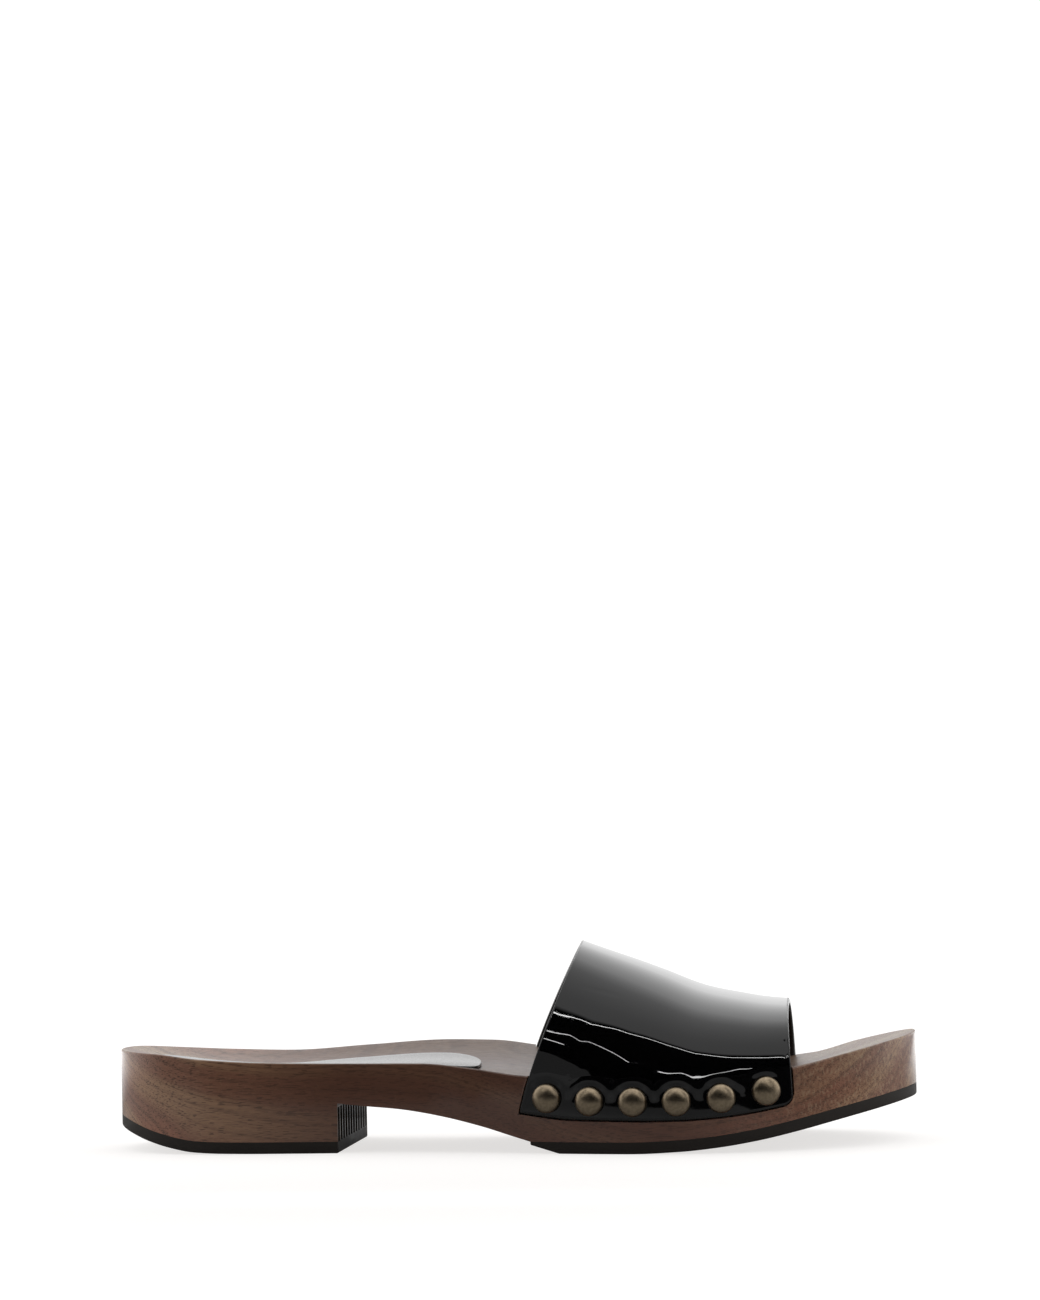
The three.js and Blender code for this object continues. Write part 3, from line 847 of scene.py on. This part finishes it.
class Graph:
    """A material's node tree, with one short call for each kind of node that is used here."""

    def __init__(self, name):
        self.material = bpy.data.materials.new(name)
        self.material.use_nodes = True
        self.tree = self.material.node_tree
        self.tree.nodes.clear()
        self.shader = self.add("ShaderNodeBsdfPrincipled")
        output = self.add("ShaderNodeOutputMaterial")
        self.tree.links.new(self.shader.outputs[0], output.inputs[0])

    def add(self, kind, inputs=None, **settings):
        node = self.tree.nodes.new(kind)
        for key, value in settings.items():
            setattr(node, key, value)
        for key, value in (inputs or {}).items():
            self.fill(node.inputs[key], value)
        return node

    def fill(self, socket, value):
        """Links another node's output to a socket, or sets the socket to a plain value."""
        if isinstance(value, bpy.types.NodeSocket):
            self.tree.links.new(value, socket)
        else:
            socket.default_value = value

    def position(self):
        """Place in the row frame, in metres."""
        return self.add("ShaderNodeTexCoord").outputs["Object"]

    def noise(self, sizes, detail=2.0, roughness=0.5):
        """Noise with blotches of some sizes in millimetres along x, y and z."""
        scale = tuple(1 / (MM * size) for size in sizes)
        place = self.add("ShaderNodeMapping", {"Vector": self.position(), "Scale": scale}).outputs[0]
        values = {"Vector": place, "Scale": 1.0, "Detail": detail, "Roughness": roughness}
        return self.add("ShaderNodeTexNoise", values).outputs["Fac"]

    def line_noise(self, value, spacing, detail):
        """Noise along one value, at a spacing in that value's own units."""
        values = {"W": value, "Scale": 1 / spacing, "Detail": detail}
        return self.add("ShaderNodeTexNoise", values, noise_dimensions="1D").outputs["Fac"]

    def math(self, operation, a, b=0.0):
        return self.add("ShaderNodeMath", {0: a, 1: b}, operation=operation).outputs[0]

    def vector(self, operation, a, b=(0, 0, 0)):
        node = self.add("ShaderNodeVectorMath", {0: a, 1: b}, operation=operation)
        return node.outputs["Value" if operation == "LENGTH" else "Vector"]

    def remap(self, value, low, high, to_low=0.0, to_high=1.0):
        values = {"Value": value, "From Min": low, "From Max": high, "To Min": to_low, "To Max": to_high}
        return self.add("ShaderNodeMapRange", values, interpolation_type="SMOOTHSTEP").outputs[0]

    def mix(self, factor, a, b, blend="MIX"):
        """One colour laid over another; the colours' sockets are the seventh and eighth."""
        values = {0: factor, 6: a, 7: b}
        return self.add("ShaderNodeMix", values, data_type="RGBA", blend_type=blend).outputs[2]

    def bump(self, height, strength, distance):
        values = {"Height": height, "Strength": strength, "Distance": distance}
        return self.add("ShaderNodeBump", values).outputs[0]

    def set(self, **values):
        """Sets the shader's sockets, by names with underscores for spaces."""
        for key, value in values.items():
            self.fill(self.shader.inputs[key.replace("_", " ")], value)


def wood_material(name, lacquer, painted_sheen):
    """Walnut-stained wood: tilted growth rings, fine fibres, short dark pores, satin lacquer, painted
    shade and sheen.
    """
    g = Graph(name)
    warp = g.noise((90, 40, 40), detail=1)
    place = g.position()
    from_heart = g.vector("SUBTRACT", place, HEARTWOOD)
    distance = g.vector("LENGTH", g.vector("MULTIPLY", from_heart, (0, 1 / MM, 1 / MM)))
    along = g.add("ShaderNodeSeparateXYZ", {0: place}).outputs["X"]
    drift = g.math("MULTIPLY", along, RING_DRIFT / MM)
    ring = g.math("ADD", g.math("ADD", distance, drift), g.math("MULTIPLY", warp, RING_WARP))
    bands = g.line_noise(ring, BAND_SPACING, detail=1)
    lines = g.line_noise(ring, LINE_SPACING, detail=2)
    speck = g.noise(SPECK_SIZE, detail=1)
    tint = g.noise((55, 40, 22), detail=1)
    fibre = g.noise(FIBRE_SIZE, detail=3, roughness=0.65)
    pores = g.noise(PORE_SIZE, detail=0)
    dense = g.remap(lines, 0.35, 0.7, -0.04, 0.05)
    pore_mask = g.remap(g.math("ADD", pores, dense), *PORE_BAND)
    ramp = g.mix(g.remap(bands, 0.36, 0.62), WOOD_DARK, WOOD_LIGHT)
    red = g.mix(g.remap(tint, 0.52, 0.74, 0, 0.6), ramp, WOOD_RED)
    grained = g.mix(g.remap(fibre, 0.35, 0.7, 0, 0.4), red, WOOD_FIBRE)
    lined = g.mix(g.remap(lines, 0.42, 0.7, 0, 0.4), grained, WOOD_FIBRE)
    specked = g.mix(g.remap(speck, 0.5, 0.75, 0, 0.3), lined, WOOD_LIGHT)
    porous = g.mix(g.math("MULTIPLY", pore_mask, PORE_DARKNESS), specked, WOOD_PORE)
    ends = g.remap(g.math("ABSOLUTE", g.math("SUBTRACT", along, WAIST_MIDDLE)), *WAIST_TO_ENDS)
    toe = g.remap(along, *WAIST_TO_ENDS)
    grit = g.noise(GRIT_SIZE, detail=3, roughness=0.6)
    dark_grit = g.math("MULTIPLY", g.remap(grit, 0.52, 0.66), g.math("MULTIPLY", toe, GRIT_DARKNESS))
    pale_grit = g.math("MULTIPLY", g.remap(grit, 0.48, 0.34), g.math("MULTIPLY", toe, GRIT_PALENESS))
    colour = g.mix(pale_grit, g.mix(dark_grit, porous, WOOD_FIBRE), WOOD_PALE)
    plain = g.math("MULTIPLY", g.math("SUBTRACT", 1.0, ends), WAIST_PLAINNESS)
    # Painted shade darkens the waist and painted sheen lightens the heel and toe
    painted_light = g.mix(ends, WAIST_PAINTED_SHADE, g.mix(toe, HEEL_PAINTED_SHEEN, TOE_PAINTED_SHEEN))
    with_painted_light = g.mix(1.0, g.mix(plain, colour, WOOD_MEAN), painted_light, blend="MULTIPLY")
    height = g.math("SUBTRACT", g.math("MULTIPLY", fibre, 0.3), pore_mask)
    g.set(
        # The tint multiplied in last is painted sheen
        Base_Color=g.mix(1.0, with_painted_light, painted_sheen, blend="MULTIPLY"),
        Roughness=g.remap(fibre, 0.3, 0.7, 0.42, 0.52),
        Specular_IOR_Level=0.25,
        Coat_Weight=lacquer,
        Coat_Roughness=0.15,
        Normal=g.bump(height, 0.15, 0.0002),
    )
    return g.material


def breast_material():
    """Black gloss paint over the flutes, worn to brown in places."""
    g = Graph("black_gloss_flutes")
    worn = g.noise((3, 3, 6))
    g.set(
        Base_Color=g.mix(worn, rgb(40, 31, 21), rgb(58, 46, 33)),
        Roughness=0.2,
        Coat_Weight=0.35,
        Coat_Roughness=0.08,
    )
    return g.material


def rubber_material():
    """Black rubber, faintly grainy and uneven."""
    g = Graph("black_rubber")
    fine = g.noise((0.5, 0.5, 0.5), detail=3)
    patch = g.noise((12, 12, 4))
    g.set(
        Base_Color=g.mix(patch, rgb(38, 33, 29), rgb(47, 41, 36)),
        Roughness=g.remap(patch, 0.3, 0.7, 0.5, 0.65),
        Specular_IOR_Level=0.3,
        Normal=g.bump(fine, 0.25, 0.00015),
    )
    return g.material


def patent_material():
    """Black patent leather: a dark base under a glassy coat, faintly wavy."""
    g = Graph("black_patent_leather")
    swell = g.noise((16, 16, 9), detail=1)
    streak = g.noise((9, 3, 0.7))
    height = g.math("ADD", swell, g.math("MULTIPLY", streak, 0.05))
    g.set(
        Base_Color=rgb(6, 6, 7),
        Roughness=0.3,
        Specular_IOR_Level=0.0,
        Coat_Weight=1.0,
        Coat_Roughness=0.02,
        Coat_IOR=1.5,
        Coat_Normal=g.bump(height, 0.03, 0.0006),
    )
    return g.material


def edge_material():
    """Black paint on the strap's cut edge."""
    g = Graph("black_edge_paint")
    worn = g.noise((2, 2, 2))
    g.set(
        Base_Color=g.mix(worn, rgb(15, 14, 14), rgb(24, 22, 21)),
        Roughness=g.remap(worn, 0.3, 0.7, 0.22, 0.34),
    )
    return g.material


def lining_material():
    """Smooth dull leather on the strap's inside."""
    g = Graph("black_lining_leather")
    grain = g.noise((0.9, 0.9, 0.9))
    patch = g.noise((14, 14, 14))
    g.set(
        Base_Color=g.mix(patch, rgb(27, 23, 21), rgb(40, 34, 30)),
        Roughness=g.remap(patch, 0.3, 0.7, 0.55, 0.7),
        Specular_IOR_Level=0.3,
        Normal=g.bump(grain, 0.3, 0.0001),
    )
    return g.material


def sock_material():
    """Dark leather with a low gloss and a fine grain."""
    g = Graph("sock_leather_dark")
    grain = g.noise((0.6, 0.6, 0.6))
    g.set(
        Base_Color=g.mix(grain, rgb(44, 42, 40), rgb(54, 51, 48)),
        Roughness=g.remap(grain, 0.3, 0.7, 0.26, 0.34),
        Coat_Weight=0.2,
        Coat_Roughness=0.15,
        Normal=g.bump(grain, 0.03, 0.0001),
    )
    return g.material


def brass_material():
    """Antique brass, browner in blotches and paler where it has rubbed."""
    g = Graph("antique_brass")
    blotch = g.noise((0.9, 0.9, 0.9), detail=3, roughness=0.6)
    g.set(
        Base_Color=g.mix(g.remap(blotch, 0.35, 0.65), rgb(146, 131, 110), rgb(164, 148, 124)),
        Metallic=1.0,
        Roughness=0.33,
    )
    return g.material


# Build


def place(piece, slot, material, *nodes):
    """Gives a piece its finish, and puts it in the place of its nodes."""
    piece.data.materials.append(material)
    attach(piece, "root")
    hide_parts(*nodes)
    return piece


def finish_wood(wood):
    """Paints the heel breast up to the flutes' top, and gives the footbed its duller lacquer and painted
    sheen.
    """
    wood.data.materials.append(breast_material())
    wood.data.materials.append(wood_material("walnut_footbed_painted_sheen", FOOTBED_LACQUER, FOOTBED_PAINTED_SHEEN))
    rear, front = BREAST_REACH
    for face in wood.data.polygons:
        centre = face.center / MM + Vector(ORIGIN)
        at_breast = rear < centre.x - HEEL_LENGTH < front
        if at_breast and centre.z < ARCH_HEIGHT and face.normal.x > BREAST_SLOPE:
            painted = centre.z < ARCH_HEIGHT - FLUTE_LAND
            face.material_index = WOOD_FLUTES if painted else WOOD_FOOTBED
        elif face.normal.z > FOOTBED_SLOPE:
            face.material_index = WOOD_FOOTBED


wood = place(wooden_sole(), "wood", wood_material("walnut_side", SIDE_LACQUER, SIDE_PAINTED_SHEEN), "wooden_sole")
finish_wood(wood)
rubber = rubber_material()
place(heel_rubber(), "rubber", rubber, "heel_top_piece")
place(forefoot_rubber(), "rubber", rubber, "forefoot_outsole")
strap = place(leather_strap(), "patent_leather", patent_material(), "upper_strap")
strap.data.materials.append(edge_material())
strap.data.materials.append(lining_material())
place(heel_sock(), "sock_leather", sock_material(), "heel_sock")
brass = brass_material()
for side, medial in (("lateral", False), ("medial", True)):
    for k, (seat, outward) in enumerate(stud_seats(medial), start=1):
        nail = domed_nail(f"nail_{side}_{k}", seat, outward)
        place(nail, "stud_brass", brass, f"stud_{side}_{k}")


# Stage, lights and camera


def linked(name, points, faces):
    """A piece of the stage, in metres."""
    mesh = bpy.data.meshes.new(name)
    mesh.from_pydata([tuple(p) for p in points], [], faces)
    thing = bpy.data.objects.new(name, mesh)
    bpy.context.scene.collection.objects.link(thing)
    thing.visible_transmission = False
    thing.visible_volume_scatter = False
    return thing


def glowing(name, low, high):
    """Light that a card gives off, from a strength at its foot to a strength at its head."""
    material = bpy.data.materials.new(name)
    material.use_nodes = True
    tree = material.node_tree
    tree.nodes.clear()
    height = tree.nodes.new("ShaderNodeSeparateXYZ")
    tree.links.new(tree.nodes.new("ShaderNodeTexCoord").outputs["UV"], height.inputs[0])
    strength = tree.nodes.new("ShaderNodeMapRange")
    strength.inputs["To Min"].default_value = low
    strength.inputs["To Max"].default_value = high
    tree.links.new(height.outputs["Y"], strength.inputs["Value"])
    glow = tree.nodes.new("ShaderNodeEmission")
    tree.links.new(strength.outputs[0], glow.inputs["Strength"])
    output = tree.nodes.new("ShaderNodeOutputMaterial")
    tree.links.new(glow.outputs[0], output.inputs[0])
    return material


def card(name, foot, head, foot_glow, head_glow):
    """A card between two rows of points, seen only in glossy reflections."""
    count = len(foot)
    faces = [(k, k + 1, count + k + 1, count + k) for k in range(count - 1)]
    sheet = linked(name, list(foot) + list(head), faces)
    heights = sheet.data.uv_layers.new(name="heights")
    for loop in sheet.data.loops:
        heights.data[loop.index].uv = (0, 0 if loop.vertex_index < count else 1)
    sheet.data.materials.append(glowing(name, foot_glow, head_glow))
    sheet.visible_camera = False
    sheet.visible_diffuse = False
    sheet.visible_shadow = False
    return sheet


def upright(x, depth, heights):
    """Points over places along x at one depth, at a height each."""
    return [(a, depth, b) for a, b in zip(x, heights)]


def floor(name, corners, height, albedo, glow):
    """A flat matt floor of one grey, which may give off some light of its own."""
    plane = linked(name, [(x, y, height) for x, y in corners], [tuple(range(len(corners)))])
    g = Graph(name)
    g.set(Base_Color=(albedo, albedo, albedo, 1), Roughness=0.9, Specular_IOR_Level=0.0)
    g.set(Emission_Color=SEEN_FLOOR_TINT, Emission_Strength=glow)
    plane.data.materials.append(g.material)
    return plane


# Light from all round. Distances are in metres and glows are strengths of emission.
WORLD_LIGHT = 1.15
FLOOR_CORNERS = ((-3, -3), (3, -3), (3, 3), (-3, 3))
SEEN_FLOOR_ALBEDO = 0.38
SEEN_FLOOR_GLOW = 0.72
SEEN_FLOOR_TINT = (1.0, 0.98, 0.965, 1.0)
BOUNCE_FLOOR_HEIGHT = -0.0006
BOUNCE_FLOOR_ALBEDO = 0.35
DARK_FLOOR_CORNERS = (
    (-0.60, -1.2),
    (3, -1.2),
    (3, -0.10),
    (0.18, -0.10),
    (0.14, -0.213),
    (-0.075, -0.213),
)
DARK_FLOOR_HEIGHT = -0.0003
DARK_FLOOR_ALBEDO = 0.01
GLOSS_FLOOR_HEIGHT = -0.0001
GLOSS_FLOOR_DEPTHS = (0.10, 0.50, 3.0)
REFLECTED_FLOOR_SIDES = (-3.0, 0.50)
NEAR_FLOOR_GLOW = 0.1
BACK_FLOOR_GLOW = 1.8

# A dark flag on the outer side of the shoe, which fades into the sky above and behind it
FLAG_DISTANCE = -1.2
FLAG_REACH = 1.6
FLAG_BORDER = 0.10
FLAG_FADE = 0.15
FADE_REACH = 3.0
FADE_DEPTH = 0.5
SIDE_FADE_GLOW = 1.5
SKY_HEIGHT = 4.5
OVERHEAD_DEPTH = 1.2
REAR_DEPTH = 3.0
REAR_HEIGHTS = (0.25, 1.2)
FADED_GLOW = 1.0
FRONT_GLOW = 1.15
OVERHEAD_GLOW = 1.4
REAR_GLOW = 2.1
LOW_REAR_GLOW = 2.0

# Thin bright strips before the flag, whose reflections draw the lines along the strap
LONG_STRIP = table(
    "along top",
    (-1.60, 0.40),
    (-0.90, 0.80),
    (-0.50, 1.17),
    (-0.46, 1.30),
    (-0.31, 1.37),
    (-0.14, 1.32),
    (-0.01, 1.19),
    (0.29, 0.93),
    (0.47, 0.74),
    (0.68, 0.69),
    (1.01, 0.46),
    (1.60, 0.20),
)
LONG_STRIP_SPAN = (-0.60, 1.03)
LONG_STRIP_WIDTH = 0.022
LONG_STRIP_GLOW = 24.0
SHORT_STRIP = table(
    "along top",
    (-0.60, 0.62),
    (-0.58, 0.65),
    (-0.54, 0.69),
    (-0.51, 0.60),
    (-0.37, 0.43),
    (-0.24, 0.28),
)
LEFT_STRIP = table("along top", (-0.63, 0.49), (-0.59, 0.45))
LOW_STRIP = table(
    "along top",
    (-0.20, 0.12),
    (-0.01, 0.14),
    (0.23, 0.03),
    (0.35, 0.05),
    (0.49, 0.13),
    (0.59, 0.17),
)
STRIP_CLEARANCE = 0.005
THIN_STRIP_WIDTH = 0.018
THIN_STRIP_GLOW = 14.0
GREY_CARD = table("along top", (-1.10, 0.45), (-0.66, 0.24), (-0.63, 0.17), (-0.58, 0.08), (-0.57, 0.0))
GREY_CARD_WIDTH = 1.0
GREY_CARD_GLOW = 0.27
NEAR_FLAG = (-0.15, 0.13)
NEAR_FLAG_DISTANCE = -0.17
NEAR_FLAG_HEIGHTS = (0.02, 0.32)


def studio():
    world = bpy.data.worlds.new("studio")
    bpy.context.scene.world = world
    world.use_nodes = True
    world.node_tree.nodes["Background"].inputs["Color"].default_value = (1, 1, 1, 1)
    world.node_tree.nodes["Background"].inputs["Strength"].default_value = WORLD_LIGHT
    floors()
    x = np.linspace(-FLAG_REACH, FLAG_REACH, 81)
    strip = value_at(LONG_STRIP, "top", x)
    foot = upright(x, FLAG_DISTANCE, 0 * x)
    border = upright(x, FLAG_DISTANCE, strip + FLAG_BORDER)
    faded = upright(x, FLAG_DISTANCE, strip + FLAG_BORDER + FLAG_FADE)
    front = upright(x, FLAG_DISTANCE, 0 * x + SKY_HEIGHT)
    over = upright(x, OVERHEAD_DEPTH, 0 * x + SKY_HEIGHT)
    rear = upright(x, REAR_DEPTH, 0 * x + SKY_HEIGHT)
    rear_foot, rear_low = (upright(x, REAR_DEPTH, 0 * x + height) for height in REAR_HEIGHTS)
    card("dark_flag", foot, border, 0, 0)
    card("flag_fade", border, faded, 0, FADED_GLOW)
    card("front_sky", faded, front, FADED_GLOW, FRONT_GLOW)
    card("overhead", front, over, FRONT_GLOW, OVERHEAD_GLOW)
    card("high_rear", over, rear, OVERHEAD_GLOW, REAR_GLOW)
    card("rear_sky", rear_low, rear, LOW_REAR_GLOW, REAR_GLOW)
    card("low_rear", rear_foot, rear_low, WORLD_LIGHT, LOW_REAR_GLOW)
    for side, name in ((-1, "left"), (1, "right")):
        near = [(side * FLAG_REACH, FLAG_DISTANCE, height) for height in (0, SKY_HEIGHT)]
        far = [(side * FADE_REACH, FADE_DEPTH, height) for height in (0, SKY_HEIGHT)]
        card(f"side_fade_{name}", near, far, 0, SIDE_FADE_GLOW)
    near_row, mid_row, back_row = (
        [(x, depth, GLOSS_FLOOR_HEIGHT) for x in REFLECTED_FLOOR_SIDES] for depth in GLOSS_FLOOR_DEPTHS
    )
    card("reflected_floor", near_row, mid_row, NEAR_FLOOR_GLOW, BACK_FLOOR_GLOW)
    card("reflected_back_floor", mid_row, back_row, BACK_FLOOR_GLOW, BACK_FLOOR_GLOW)
    bpy.data.collections.new("lit_by_strips").objects.link(strap)
    thin_card("long_strip", LONG_STRIP, LONG_STRIP_SPAN, LONG_STRIP_WIDTH, LONG_STRIP_GLOW)
    thin_strips = {"short_strip": SHORT_STRIP, "left_strip": LEFT_STRIP, "low_strip": LOW_STRIP}
    for name, rows in thin_strips.items():
        thin_card(name, rows, rows["along"][[0, -1]], THIN_STRIP_WIDTH, THIN_STRIP_GLOW)
    thin_card("grey_card", GREY_CARD, GREY_CARD["along"][[0, -1]], GREY_CARD_WIDTH, GREY_CARD_GLOW)
    foot, head = (upright(NEAR_FLAG, NEAR_FLAG_DISTANCE, (z, z)) for z in NEAR_FLAG_HEIGHTS)
    near = card("near_flag", foot, head, 0, 0)
    near.visible_glossy = False
    near.visible_diffuse = True
    near.visible_shadow = True


def thin_card(name, rows, span, width, glow):
    """A card of one width before the flag, for the strap alone, with its top through a table's rows."""
    x = np.linspace(*span, 60)
    top = value_at(rows, "top", x)
    depth = FLAG_DISTANCE + STRIP_CLEARANCE
    foot = upright(x, depth, np.maximum(top - width, 0))
    strip = card(name, foot, upright(x, depth, top), glow, glow)
    strip.light_linking.receiver_collection = bpy.data.collections["lit_by_strips"]


def floors():
    """One floor for the camera, and under it the floors that light and reflections meet."""
    seen = floor("floor_seen", FLOOR_CORNERS, 0.0, SEEN_FLOOR_ALBEDO, SEEN_FLOOR_GLOW)
    seen.visible_diffuse = False
    seen.visible_glossy = False
    seen.visible_shadow = False
    bounce = floor("floor_bounce", FLOOR_CORNERS, BOUNCE_FLOOR_HEIGHT, BOUNCE_FLOOR_ALBEDO, 0.0)
    bounce.visible_camera = False
    dark = floor("floor_dark", DARK_FLOOR_CORNERS, DARK_FLOOR_HEIGHT, DARK_FLOOR_ALBEDO, 0.0)
    dark.visible_camera = False


# Camera, fitted to the photo: turn and height about the shoe's middle, and the small tilts of the picture
CAMERA_DISTANCE = 1.6
CAMERA_TURN = 7.428
CAMERA_HEIGHT = 4.377
CAMERA_PITCH = 0.447
CAMERA_YAW = -0.143
CAMERA_ROLL = 1.163
LENS = 140.83
AIM = (125.0, 0.0, 20.0)


def camera():
    turn, height = math.radians(CAMERA_TURN), math.radians(CAMERA_HEIGHT)
    pitch, heading = math.radians(CAMERA_PITCH), math.radians(CAMERA_TURN + CAMERA_YAW)
    aim = Vector(to_row([AIM])[0])
    away = Vector((math.sin(turn), -math.cos(turn), 0)) * math.cos(height)
    away.z = math.sin(height)
    data = bpy.data.cameras.new("camera")
    data.sensor_width = 36
    data.lens = LENS
    data.clip_start = 0.05
    eye = bpy.data.objects.new("camera", data)
    bpy.context.scene.collection.objects.link(eye)
    level = Vector((-math.sin(heading), math.cos(heading), 0))
    forward = level * math.cos(pitch)
    forward.z = math.sin(pitch)
    right = Vector((math.cos(heading), math.sin(heading), 0))
    up = right.cross(forward)
    roll = math.radians(CAMERA_ROLL)
    rolled_right = right * math.cos(roll) - up * math.sin(roll)
    rolled_up = up * math.cos(roll) + right * math.sin(roll)
    eye.matrix_world = matrix_of(rolled_right, rolled_up, -forward, aim + away * CAMERA_DISTANCE)
    bpy.context.scene.camera = eye


def matrix_of(x, y, z, origin):
    """The placing of a frame, from its three directions and its origin."""
    return Matrix((
        (x.x, y.x, z.x, origin.x),
        (x.y, y.y, z.y, origin.y),
        (x.z, y.z, z.z, origin.z),
        (0, 0, 0, 1),
    ))


studio()
camera()
bpy.context.scene.view_settings.view_transform = "Standard"
